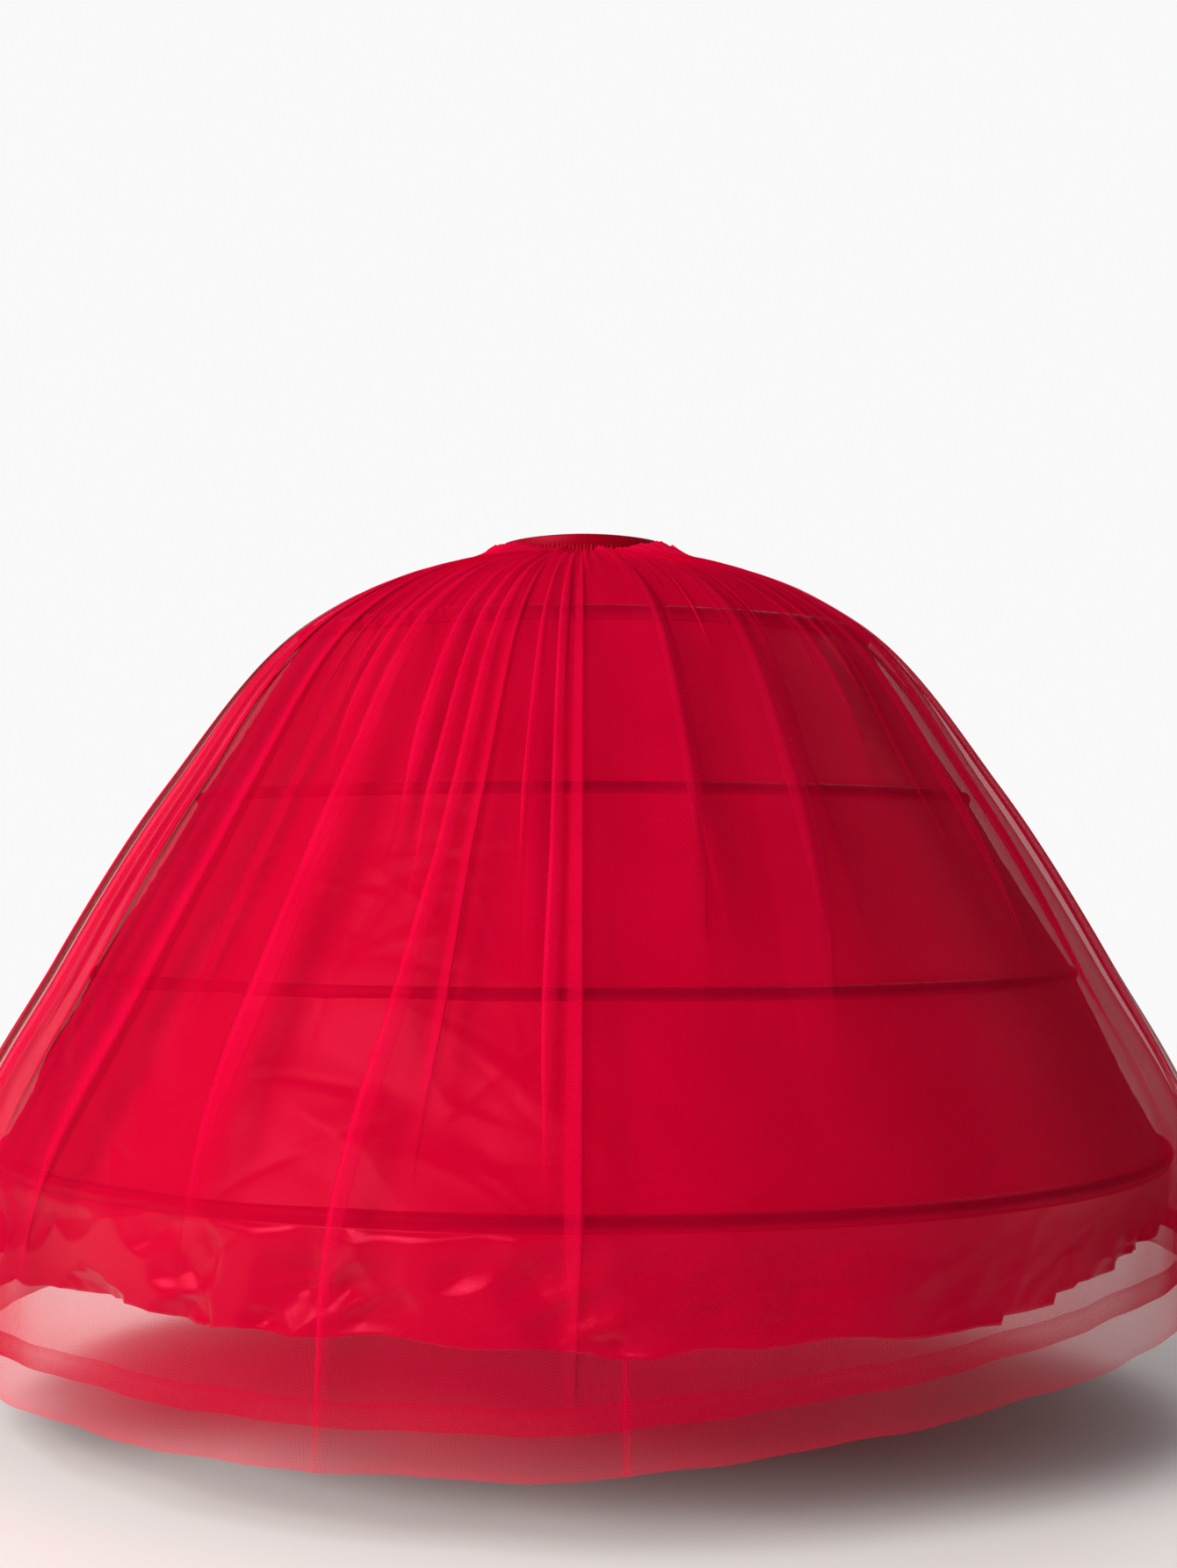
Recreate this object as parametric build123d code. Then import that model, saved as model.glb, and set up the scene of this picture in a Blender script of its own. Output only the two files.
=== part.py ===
from build123d import *
import os
from math import cos, degrees, hypot, radians, sin

# A hooped underskirt: four steel hoops in casings on a lined cone of cloth, hung from an
# elastic waistband, under two gathered layers of sheer net. All lengths are in millimetres.
# The origin is the centre of the waistband, +Z is up and the front faces -Y.
# A bearing is an angle round the waist from the front, towards +X.

# Waist
waist_half_width = 102.0
waist_half_depth = 80.0
band_height = 22.0
band_wall = 1.0
elastic_height = 13.0
elastic_thickness = 1.6
elastic_clearance = 0.4
yoke_tuck = 4.0

# Hoops, each with its radius and its drop below the centre of the waistband
hoop_1_radius = 362.0
hoop_2_radius = 490.0
hoop_3_radius = 624.0
hoop_4_radius = 750.0
hoop_1_drop = 109.0
hoop_2_drop = 320.0
hoop_3_drop = 541.0
hoop_4_drop = 783.0

# Steel in each hoop, the sleeve that joins its ends and the casing tape over it
steel_height = 7.0
steel_thickness = 1.2
steel_end_gap = 2.0
sleeve_length = 50.0
sleeve_wall = 0.5
sleeve_clearance = 0.1
casing_height = 20.0
casing_thickness = 1.0
casing_inset = 3.0
casing_end_gap = 2.0
pocket_clearance = 0.3

# Lining cloth
lining_thickness = 1.2
seam_gap = 0.3
yoke_gather_depth = 2.0
flounce_length = 113.0
flounce_fold_depth = 7.0
flounce_tuck_in = 8.0
flounce_unevenness = 11.0
flounce_right_rise = 38.0

# Net layers. Each falls below the last hoop, and hangs higher on the right side.
net_thickness = 1.0
net_seat_gap = 0.8
under_net_stand = 15.0
under_net_lift = 7.0
under_net_seat = 2.5
under_net_fold_depth = 5.0
under_net_fall = 195.0
under_net_hem = 30.0
under_net_hem_stand = 13.0
over_net_stand = 43.0
over_net_lift = 17.0
over_net_seat = 7.0
over_net_fold_depth = 12.0
over_net_fall = 232.0
over_net_hem_stand = 42.0
net_right_rise = 80.0

# Bearings and counts
full_turn = 360.0
cloth_facets = 48
waist_facets = 40
side_seam_facets = 10
net_seam_bearing = 3.0
hoop_join_bearing = 180.0
net_panels = 4
over_net_folds_per_panel = 7
under_net_folds_per_panel = 4

# Where the cloth domes out between the waist and the first hoop, as shares of that reach and
# drop, how deep each fold is at the dome, the four hoops and the hem, and how far each net
# layer stands off at each hoop.
dome_reach_share = 0.74
dome_drop_share = 0.72
fold_depth_shares = (0.24, 0.08, 0.60, 0.70, 0.80, 1.00)
under_stand_shares = (0.77, 1.00, 1.00, 1.00)
over_stand_shares = (0.43, 1.00, 1.00, 1.00)
net_unevenness_share = 0.25

hoops = [
    (hoop_1_radius, -hoop_1_drop),
    (hoop_2_radius, -hoop_2_drop),
    (hoop_3_radius, -hoop_3_drop),
    (hoop_4_radius, -hoop_4_drop),
]

# The band is a strip of cloth folded down over the elastic, so its bottom is an open mouth.
band_bottom = -band_height / 2
band_cavity = elastic_thickness + 2 * elastic_clearance
band_depth = band_cavity + 2 * band_wall

# Cloth is laid round the hoops in narrow flat facets, so it bows in by a small share of the
# radius between two fold lines.
facet_bearing = full_turn / cloth_facets
side_seam_bearing = side_seam_facets * facet_bearing
facet_bow_share = 1 / cos(radians(facet_bearing / 2))

# The pocket between lining and casing tape just takes the sleeve round the steel.
sleeve_bore = steel_thickness + 2 * sleeve_clearance
sleeve_depth = sleeve_bore + 2 * sleeve_wall
pocket_depth = sleeve_depth + 2 * pocket_clearance


def waist_reach(bearing, outset=0.0):
    """Distance from the axis to the oval of the waist, moved out by outset."""
    wide = waist_half_width + outset
    deep = waist_half_depth + outset
    return 1 / hypot(sin(radians(bearing)) / wide, cos(radians(bearing)) / deep)


def strip(line, thickness, turn_up=0.0, plumb_top=False):
    """Outline of a sheet whose outer face is the line. Its ends are cut level, or plumb at the
    top where it is sewn to the band's face, and its hem may be turned up inside."""
    ways = []
    for (r0, z0), (r1, z1) in zip(line, line[1:]):
        run = hypot(r1 - r0, z1 - z0)
        ways.append(((r1 - r0) / run, (z1 - z0) / run))
    (top_r, top_z), (hem_r, hem_z) = line[0], line[-1]
    (out_r, out_z), (down_r, down_z) = ways[0], ways[-1]
    inner = [(top_r, top_z - thickness / out_r) if plumb_top else (top_r + thickness / out_z, top_z)]
    for (r, z), (ar, az), (br, bz) in zip(line[1:], ways, ways[1:]):
        mitre = thickness / (1 + ar * br + az * bz)
        inner.append((r + mitre * (az + bz), z - mitre * (ar + br)))
    if turn_up:
        fold_r, fold_z = hem_r - turn_up * down_r, hem_z - turn_up * down_z
        inner.append((fold_r + thickness / down_z, fold_z))
        inner.append((fold_r + 2 * thickness / down_z, fold_z))
    layers = 2 if turn_up else 1
    inner.append((hem_r + layers * thickness / down_z, hem_z))
    return [*line, *reversed(inner)]


def stood(outline, bearing):
    """Section points (reach, height), stood in the upright plane of a bearing."""
    east, north = sin(radians(bearing)), -cos(radians(bearing))
    return [Vector(r * east, r * north, z) for r, z in outline]


def flat(*corners):
    """A flat face between corners."""
    return Face(Wire.make_polygon(corners))


def folded_sheet(section_at, start, end, steps):
    """A sheet through the sections at evenly spaced bearings. Each is a fold line, and a pair of
    flat triangles spans each strip of cloth from one fold line to the next. Both sides of the
    sheet are cut from the higher corner here to the lower corner there, so they stay parallel."""
    bearings = [start + (end - start) * step / steps for step in range(steps + 1)]
    sections = [stood(section_at(b), b) for b in bearings]
    faces = [flat(*sections[0]), flat(*sections[-1])]
    for here, there in zip(sections, sections[1:]):
        for a, b, c, d in zip(here, here[1:] + here[:1], there[1:] + there[:1], there):
            if a.Z > b.Z:
                faces += [flat(a, b, c), flat(a, c, d)]
            else:
                faces += [flat(a, b, d), flat(b, c, d)]
    return Solid(Shell(faces))


def turned(outline, start, end):
    """An outline turned about the axis from one bearing to another."""
    section = make_face(Polyline(*[(r, 0, z) for r, z in outline], close=True))
    return Rot(0, 0, start - full_turn / 4) * revolve(section, Axis.Z, end - start)


def hoop_slope(number):
    """Corner of the lining at a hoop, and the ways along the casing and out of the cloth."""
    here = hoops[number]
    last = number + 1 == len(hoops)
    there = hoops[number - 1] if last else hoops[number + 1]
    run = hypot(there[0] - here[0], there[1] - here[1])
    along = ((there[0] - here[0]) / run, (there[1] - here[1]) / run)
    out = (along[1], -along[0]) if last else (-along[1], along[0])
    return here, along, out


def on_slope(number, middle, height, near, depth):
    """Outline of a strip that lies along the cloth at a hoop, from near to near + depth off it."""
    (r, z), (ar, az), (nr, nz) = hoop_slope(number)
    corners = [
        (middle - height / 2, near),
        (middle + height / 2, near),
        (middle + height / 2, near + depth),
        (middle - height / 2, near + depth),
    ]
    return [(r + s * ar + n * nr, z + s * az + n * nz) for s, n in corners]


def waistband():
    """The folded band: an oval ring with a cavity that opens downwards."""
    def ring(outer, inner, height):
        def oval(outset):
            bearings = [full_turn * step / waist_facets for step in range(waist_facets)]
            reaches = [waist_reach(b, outset) for b in bearings]
            points = [(r * sin(radians(b)), -r * cos(radians(b))) for r, b in zip(reaches, bearings)]
            return Polygon(*points, align=None)
        return extrude(oval(outer) - oval(inner), height)

    band = Pos(0, 0, band_bottom) * ring(band_depth, 0, band_height)
    cavity = Pos(0, 0, band_bottom) * ring(band_depth - band_wall, band_wall, band_height - band_wall)
    inner = band_wall + elastic_clearance
    top = band_height / 2 - band_wall - elastic_clearance
    elastic = Pos(0, 0, top - elastic_height) * ring(inner + elastic_thickness, inner, elastic_height)
    return {"waistband": band - cavity, "waist_elastic": elastic}


def dome(start_reach, end_reach, lift):
    """Shoulder of the dome between the waist and the first hoop."""
    return (
        start_reach + dome_reach_share * (end_reach - start_reach),
        lift - dome_drop_share * hoop_1_drop,
    )


def raised(rise, bearing):
    """How much higher a hem hangs at a bearing, when it is drawn up on the right side."""
    return rise * max(0.0, sin(radians(bearing)))


def fold_line(bearing):
    """Number of the fold line of the lining at a bearing, counted once round."""
    return round(bearing / facet_bearing) % cloth_facets


def gore_bearings():
    """Front and two back gores, from the side seams to the centre back."""
    return {
        "front": (-side_seam_bearing, side_seam_bearing),
        "back_right": (side_seam_bearing, full_turn / 2),
        "back_left": (full_turn / 2, full_turn - side_seam_bearing),
    }


def yoke_section(bearing):
    """Gathered top of the lining, from inside the waistband's mouth to the first hoop."""
    mouth = waist_reach(bearing, (band_depth + lining_thickness) / 2)
    gather = yoke_gather_depth if fold_line(bearing) % 2 else 0.0
    line = [
        (mouth, band_bottom + yoke_tuck),
        (mouth, band_bottom - lining_thickness),
        dome(mouth, hoop_1_radius, gather),
        (hoop_1_radius, seam_gap - hoop_1_drop),
    ]
    return strip(line, lining_thickness)


def flounce_section(bearing):
    """Loose cloth below the last hoop, with an uneven creased hem."""
    line_number = fold_line(bearing)
    fold = flounce_fold_depth * sin(line_number * line_number)
    dip = flounce_unevenness * sin(radians(2 * bearing) + line_number)
    top = -hoop_4_drop - seam_gap
    hem = top - flounce_length + raised(flounce_right_rise, bearing) + dip
    line = [
        (hoop_4_radius, top),
        (hoop_4_radius - flounce_tuck_in + fold, hem),
    ]
    return strip(line, lining_thickness)


def skirt_section(bearing):
    """Lining drawn tight over the four hoops."""
    return strip(hoops, lining_thickness)


def lining():
    """Yoke, skirt and flounce of the lining cloth, each in a front and two back gores."""
    sections = {"yoke": yoke_section, "skirt": skirt_section, "flounce": flounce_section}
    pieces = {}
    for side, (start, end) in gore_bearings().items():
        steps = round((end - start) / facet_bearing)
        for name, section_at in sections.items():
            pieces[f"{name}_{side}"] = folded_sheet(section_at, start, end, steps)
    return pieces


def hoop_set(number):
    """One hoop: its steel, the sleeve over its butted ends and the casing tape that covers it."""
    radius = hoops[number][0]
    middle = casing_inset + casing_height / 2
    steel_near = (pocket_depth - steel_thickness) / 2
    steel = on_slope(number, middle, steel_height, steel_near, steel_thickness)
    bore = on_slope(number, middle, steel_height + 2 * sleeve_clearance,
                    steel_near - sleeve_clearance, sleeve_bore)
    sleeve = on_slope(number, middle, steel_height + 2 * (sleeve_clearance + sleeve_wall),
                      pocket_clearance, sleeve_depth)
    tape = on_slope(number, middle, casing_height, pocket_depth, casing_thickness)
    tape = [(r * facet_bow_share, z) for r, z in tape]

    join = hoop_join_bearing
    half_gap = degrees(steel_end_gap / radius) / 2
    half_sleeve = degrees(sleeve_length / radius) / 2
    half_butt = degrees(casing_end_gap / radius) / 2
    return {
        "steel": turned(steel, join + half_gap, join + full_turn - half_gap),
        "sleeve": turned(sleeve, join - half_sleeve, join + half_sleeve)
        - turned(bore, join - 2 * half_sleeve, join + 2 * half_sleeve),
        "casing": folded_sheet(lambda bearing: tape, join + half_butt,
                               join + full_turn - half_butt, cloth_facets),
    }


def net_section(fold_lines, stand, stand_shares, lift, seat, fold_depth, fall, hem_stand, turn_up):
    """Section of one net layer at a fold line: crests and hollows take turns."""
    def section(bearing):
        number = round((bearing - net_seam_bearing) * fold_lines / full_turn) % fold_lines
        depth = fold_depth * (1 + net_unevenness_share * sin(number * number))
        side = 1 if number % 2 else -1
        band_face = waist_reach(bearing, band_depth + net_seat_gap)
        stands = [(r + stand * share, z) for (r, z), share in zip(hoops, stand_shares)]
        hem = -hoop_4_drop - fall + raised(net_right_rise, bearing)
        mean = [
            (band_face, band_bottom + seat),
            dome(band_face, stands[0][0], lift),
            *stands,
            (hoop_4_radius + hem_stand, hem),
        ]
        line = [mean[0]]
        for (r0, z0), (r, z), share in zip(mean, mean[1:], fold_depth_shares):
            run = hypot(r - r0, z - z0)
            push = side * depth * share
            line.append((r - push * (z - z0) / run, z + push * (r - r0) / run))
        return strip(line, net_thickness, turn_up, plumb_top=True)
    return section


def net_layers():
    """Four panels of the net under the outer layer, and four of the outer layer itself."""
    under_lines = 2 * under_net_folds_per_panel
    over_lines = 2 * over_net_folds_per_panel
    layers = {
        "under_net": (under_lines, net_section(
            net_panels * under_lines, under_net_stand, under_stand_shares, under_net_lift,
            under_net_seat, under_net_fold_depth, under_net_fall, under_net_hem_stand, under_net_hem)),
        "over_net": (over_lines, net_section(
            net_panels * over_lines, over_net_stand, over_stand_shares, over_net_lift,
            over_net_seat, over_net_fold_depth, over_net_fall, over_net_hem_stand, 0.0)),
    }
    pieces = {}
    panel = full_turn / net_panels
    for layer, (lines, section_at) in layers.items():
        for number in range(net_panels):
            start = net_seam_bearing + number * panel
            pieces[f"{layer}_panel_{number + 1}"] = folded_sheet(section_at, start, start + panel, lines)
    return pieces


os.makedirs("parts", exist_ok=True)
parts = {**waistband(), **lining(), **net_layers()}
hoop_sets = [hoop_set(number) for number in range(len(hoops))]
for number, pieces in enumerate(hoop_sets, 1):
    parts[f"hoop_{number}"] = pieces["steel"]
    parts[f"casing_{number}"] = pieces["casing"]
parts["hoop_sleeves"] = Compound([pieces["sleeve"] for pieces in hoop_sets])
for node, shape in parts.items():
    export_step(shape, f"parts/{node}.step")
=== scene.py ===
import math
from collections import namedtuple

import bpy
import numpy as np
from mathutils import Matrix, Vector


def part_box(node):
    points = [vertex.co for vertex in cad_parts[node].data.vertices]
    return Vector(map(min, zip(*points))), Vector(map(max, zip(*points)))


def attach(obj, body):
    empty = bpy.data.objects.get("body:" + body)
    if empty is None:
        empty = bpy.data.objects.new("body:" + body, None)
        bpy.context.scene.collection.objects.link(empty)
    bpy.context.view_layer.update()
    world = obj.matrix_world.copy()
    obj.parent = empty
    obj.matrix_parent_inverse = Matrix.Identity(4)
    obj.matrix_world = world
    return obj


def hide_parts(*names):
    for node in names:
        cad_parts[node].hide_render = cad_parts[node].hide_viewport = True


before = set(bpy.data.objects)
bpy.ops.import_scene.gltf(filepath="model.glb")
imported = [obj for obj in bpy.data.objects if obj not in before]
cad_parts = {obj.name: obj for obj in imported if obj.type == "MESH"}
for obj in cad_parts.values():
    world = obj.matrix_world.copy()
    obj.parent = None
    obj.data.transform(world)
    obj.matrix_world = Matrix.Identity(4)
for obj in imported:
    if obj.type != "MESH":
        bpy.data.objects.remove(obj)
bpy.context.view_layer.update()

bpy.ops.object.select_all(action="DESELECT")
print("frame loaded with", len(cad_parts), "nodes")

# Lengths are in metres. A bearing is in degrees round the waist, from the front towards +X. A place
# down a piece is a share of its run, from 0 at the top to 1 at the bottom.
mm = 0.001
gores = {"front": (-75, 75), "back_right": (75, 180), "back_left": (180, 285)}
panels = (1, 2, 3, 4)
panelStart = 3
panelTurn = 90
hoopNumbers = (1, 2, 3, 4)
turnsAboveSteel = 13 * mm


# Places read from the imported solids

def steelPlace(number):
    low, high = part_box(f"hoop_{number}")
    return np.array([(high.x - low.x) / 2, (low.z + high.z) / 2])


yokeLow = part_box("yoke_front")[0]
skirtLow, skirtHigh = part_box("skirt_front")
bandLow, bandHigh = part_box("waistband")
steels = [steelPlace(number) for number in hoopNumbers]
hoopLine = [
    np.array([-yokeLow.y, skirtHigh.z]),
    steels[1],
    steels[2],
    np.array([-skirtLow.y, skirtLow.z]),
]
for middle in (1, 2):  # the cloth turns just above each steel
    along = steels[middle + 1] - steels[middle]
    hoopLine[middle] = steels[middle] - turnsAboveSteel * along / np.linalg.norm(along)


def ovalReach(bearing, outset=0.0):
    angle = np.radians(bearing)
    wide, deep = bandHigh.x + outset, bandHigh.y + outset
    return 1 / np.hypot(np.sin(angle) / wide, np.cos(angle) / deep)


# Shared shaping

ripple = namedtuple("ripple", "size turns phase stray strays", defaults=(0, 0, 0))
hollowSpread = 0.5  # how much deeper one hollow is than another, and their level, as shares of a cell
hollowLevel = 0.6


def ease(value, start, end):
    x = np.clip((value - start) / (end - start), 0, 1)
    return x * x * (3 - 2 * x)


def upFrom(least, share):
    return least + (1 - least) * share


def awayFrom(bearing, at=0):
    return np.abs((bearing - at + 180) % 360 - 180)


def ripples(along, *plan):  # a sum of waves, each of which may stray to and fro on its way
    return sum(
        wave.size * np.sin(wave.turns * along + wave.stray * np.sin(wave.strays * along) + wave.phase)
        for wave in plan
    )


def knotsOf(stations, places):  # where the stations lie on their line, and where each place falls
    middle = stations.mean(axis=1)
    knots = np.concatenate([[0], np.cumsum(np.linalg.norm(np.diff(middle, axis=0), axis=1))])
    at = places * knots[-1]
    spot = np.clip(np.searchsorted(knots, at, side="right") - 1, 0, len(knots) - 2)
    share = (at - knots[spot]) / (knots[spot + 1] - knots[spot])
    return knots, spot, share[:, None, None]


def drawnLine(stations, places):  # a smooth line through the stations
    knots, spot, x = knotsOf(stations, places)
    slopes = np.gradient(stations, knots, axis=0)
    gap = (knots[spot + 1] - knots[spot])[:, None, None]
    return (
        (1 + 2 * x) * (1 - x) ** 2 * stations[spot]
        + x * (1 - x) ** 2 * gap * slopes[spot]
        + x * x * (3 - 2 * x) * stations[spot + 1]
        + x * x * (x - 1) * gap * slopes[spot + 1]
    )


def tautLine(stations, places):  # straight from one station to the next
    _, spot, x = knotsOf(stations, places)
    return (1 - x) * stations[spot] + x * stations[spot + 1], x[:, :, 0]


def outward(line):  # unit normals of section lines that run down from the waist
    way = np.gradient(line, axis=0)
    way /= np.linalg.norm(way, axis=2, keepdims=True)
    return np.stack([-way[..., 1], way[..., 0]], -1)


def turnOf(start, end, degreesPerCol):
    return np.linspace(start, end, round((end - start) / degreesPerCol) + 1)


def rowsOf(turn, count):
    return np.repeat(turn[None, :], count, 0)


def standUp(line, bearing):
    angle = np.radians(bearing)
    return np.stack([line[..., 0] * np.sin(angle), -line[..., 0] * np.cos(angle), line[..., 1]], -1)


def clothUv(line, bearing):
    across = np.radians(bearing - bearing.mean()) * line[..., 0]
    step = np.linalg.norm(np.diff(line, axis=0), axis=2)
    down = np.concatenate([np.zeros((1, step.shape[1])), np.cumsum(step, axis=0)])
    return np.stack([across, -down], -1)


def turned(off, turn):  # how far offsets go along and across a direction
    run = off[..., 0] * math.cos(turn) + off[..., 1] * math.sin(turn)
    side = off[..., 1] * math.cos(turn) - off[..., 0] * math.sin(turn)
    return run, side


def creases(uv, plan, rng):  # crisp ridges pressed into stiff cloth, as offsets out of it
    low, high = uv.reshape(-1, 2).min(0), uv.reshape(-1, 2).max(0)
    lift = np.zeros(uv.shape[:2])
    for _ in range(plan["count"]):
        centre = rng.uniform(low, high)
        turn = math.radians(rng.normal(plan["lean"], plan["scatter"]))
        long = rng.uniform(*plan["long"])
        wide = rng.uniform(*plan["wide"])
        tall = rng.uniform(*plan["high"]) * rng.choice([-1, 1])
        run, side = turned(uv - centre, turn)
        side = side + plan["bow"] * run * run / long
        lift += tall * np.exp(-np.abs(side) / wide) * np.clip(1 - (run / long) ** 2, 0, 1)
    return lift


def crumple(uv, plan, rng):  # shallow hollows that meet in crisp ridges
    low, high = uv.reshape(-1, 2).min(0), uv.reshape(-1, 2).max(0)
    count = round(np.prod(high - low) / plan["cell"] ** 2)
    hollows = rng.uniform(low, high, (count, 2))
    deeper = rng.uniform(0, hollowSpread * plan["cell"], count)
    run, side = turned(uv[:, :, None, :] - hollows, math.radians(plan["slant"]))
    away = np.hypot(run / plan["stretch"], side * plan["stretch"]) + deeper
    return plan["high"] * (away.min(axis=2) - hollowLevel * plan["cell"])


def makeSheet(name, points, uv, coverAndPaintedLight=None):
    rows, cols = points.shape[:2]
    index = np.arange(rows * cols).reshape(rows, cols)
    corners = [index[:-1, :-1], index[1:, :-1], index[1:, 1:], index[:-1, 1:]]
    quads = np.stack(corners, -1).reshape(-1, 4)
    mesh = bpy.data.meshes.new(name)
    mesh.from_pydata(points.reshape(-1, 3).tolist(), [], quads.tolist())
    layer = mesh.uv_layers.new(name="cloth")
    layer.data.foreach_set("uv", uv.reshape(-1, 2)[quads.reshape(-1)].ravel())
    # the attribute holds the net's cover, and on the casing tapes their painted shade
    mark = mesh.attributes.new("coverAndPaintedLight", "FLOAT", "POINT")
    mark.data.foreach_set("value", np.zeros(rows * cols) if coverAndPaintedLight is None else coverAndPaintedLight.ravel())
    piece = bpy.data.objects.new(name, mesh)
    bpy.context.scene.collection.objects.link(piece)
    bpy.ops.object.select_all(action="DESELECT")
    piece.select_set(True)
    bpy.context.view_layer.objects.active = piece
    bpy.ops.object.shade_smooth()
    return piece


def sewOn(piece, material, nodes):
    piece.data.materials.append(material)
    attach(piece, "root")
    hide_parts(*nodes)


# Shader groups

weaveLook = {"threads": 1600.0, "threadHigh": 0.5, "slub": 1.0, "slubScale": (30, 900, 1),
             "slubDetail": 3.0, "slubTone": 0.5, "drift": 5.0, "driftDetail": 4.0}
meshLook = {"cells": 700.0, "thread": 0.3, "ways": (0, 60, 120), "drift": 9.0, "driftDetail": 2.0}
noiseMiddle = 0.5


def newGroup(name, inputs, outputs):
    group = bpy.data.node_groups.new(name, "ShaderNodeTree")
    for label, kind, value in inputs:
        socket = group.interface.new_socket(name=label, in_out="INPUT", socket_type=kind)
        if value is not None:
            socket.default_value = value
    for label, kind in outputs:
        group.interface.new_socket(name=label, in_out="OUTPUT", socket_type=kind)
    start = group.nodes.new("NodeGroupInput")
    end = group.nodes.new("NodeGroupOutput")
    return group, start, end


def addNode(tree, kind, links=(), **settings):
    node = tree.nodes.new(kind)
    for key, value in settings.items():
        setattr(node, key, value)
    for socket, source in links:
        if isinstance(source, bpy.types.NodeSocket):
            tree.links.new(source, node.inputs[socket])
        else:
            node.inputs[socket].default_value = source
    return node


def maths(tree, operation, *sources):
    return addNode(tree, "ShaderNodeMath", enumerate(sources), operation=operation).outputs[0]


def noise(tree, vector, scale, detail):
    links = [("Vector", vector), ("Scale", scale), ("Detail", detail)]
    return addNode(tree, "ShaderNodeTexNoise", links).outputs["Fac"]


def stretched(tree, vector, scale):
    return addNode(tree, "ShaderNodeMapping", [("Vector", vector), ("Scale", scale)]).outputs[0]


def makeWeave(look):  # plain weave and slubs, for cloth that is laid out in metres
    group, start, end = newGroup(
        "plainWeave",
        [("Cloth", "NodeSocketVector", None), ("Threads", "NodeSocketFloat", look["threads"]),
         ("Slub", "NodeSocketFloat", look["slub"])],
        [("Height", "NodeSocketFloat"), ("Tone", "NodeSocketFloat")],
    )
    cloth = start.outputs["Cloth"]
    scaled = addNode(group, "ShaderNodeVectorMath", [(0, cloth), ("Scale", start.outputs["Threads"])],
                     operation="SCALE")
    parts = addNode(group, "ShaderNodeSeparateXYZ", [(0, scaled.outputs["Vector"])])
    warp = maths(group, "SINE", maths(group, "MULTIPLY", parts.outputs["X"], math.pi))
    weft = maths(group, "SINE", maths(group, "MULTIPLY", parts.outputs["Y"], math.pi))
    over = maths(group, "MULTIPLY", warp, weft)
    slubs = noise(group, stretched(group, cloth, look["slubScale"]), 1.0, look["slubDetail"])
    slub = maths(group, "MULTIPLY", maths(group, "SUBTRACT", slubs, noiseMiddle), start.outputs["Slub"])
    group.links.new(maths(group, "MULTIPLY_ADD", over, look["threadHigh"], slub), end.inputs["Height"])
    drift = noise(group, cloth, look["drift"], look["driftDetail"])
    group.links.new(maths(group, "MULTIPLY_ADD", slub, look["slubTone"], drift), end.inputs["Tone"])
    return group


def makeMeshwork(look):  # families of fine threads that leave open cells
    group, start, end = newGroup(
        "netMeshwork",
        [("Cloth", "NodeSocketVector", None), ("Cells", "NodeSocketFloat", look["cells"]),
         ("Thread", "NodeSocketFloat", look["thread"])],
        [("Mask", "NodeSocketFloat"), ("Tone", "NodeSocketFloat")],
    )
    cloth = start.outputs["Cloth"]
    masks = []
    for turn in look["ways"]:
        way = (math.cos(math.radians(turn)), math.sin(math.radians(turn)), 0)
        dot = addNode(group, "ShaderNodeVectorMath", [(0, cloth), (1, way)], operation="DOT_PRODUCT")
        across = maths(group, "MULTIPLY", dot.outputs["Value"], start.outputs["Cells"])
        edge = addNode(group, "ShaderNodeMapRange",
                       [("Value", maths(group, "PINGPONG", across, 1.0)), ("From Min", 0.0),
                        ("From Max", start.outputs["Thread"]), ("To Min", 1.0), ("To Max", 0.0)],
                       interpolation_type="SMOOTHSTEP")
        masks.append(edge.outputs["Result"])
    every = maths(group, "MAXIMUM", maths(group, "MAXIMUM", masks[0], masks[1]), masks[2])
    group.links.new(every, end.inputs["Mask"])
    group.links.new(noise(group, cloth, look["drift"], look["driftDetail"]), end.inputs["Tone"])
    return group


def newMaterial(name, **sockets):
    material = bpy.data.materials.new(name)
    material.use_nodes = True
    shader = material.node_tree.nodes["Principled BSDF"]
    for key, value in sockets.items():
        shader.inputs[key.replace("_", " ")].default_value = value
    return material, material.node_tree, shader


def mixColours(tree, factor, first, second):
    node = addNode(tree, "ShaderNodeMix", data_type="RGBA")
    tree.links.new(factor, node.inputs["Factor"])
    slots = [socket for socket in node.inputs if socket.type == "RGBA"]
    for socket, colour in zip(slots, (first, second)):
        if isinstance(colour, bpy.types.NodeSocket):
            tree.links.new(colour, socket)
        else:
            socket.default_value = (*colour, 1)
    return next(socket for socket in node.outputs if socket.type == "RGBA")


weave = makeWeave(weaveLook)
meshwork = makeMeshwork(meshLook)

# Cloth materials

satin = {"tint": (1, 0.06, 0.17, 1), "sheen": 0.04, "sheenRoughness": 0.35, "sheenTint": (1, 0.03, 0.1, 1),
         "roughSpread": 0.06, "bump": 0.25, "bumpDeep": 0.3 * mm}
tulle = {"roughness": 0.5, "sheen": 0.05, "sheenRoughness": 0.3, "sheenTint": (1, 0.08, 0.18, 1),
         "paintedGlow": (0.6, 0.001, 0.022, 1)}


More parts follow.
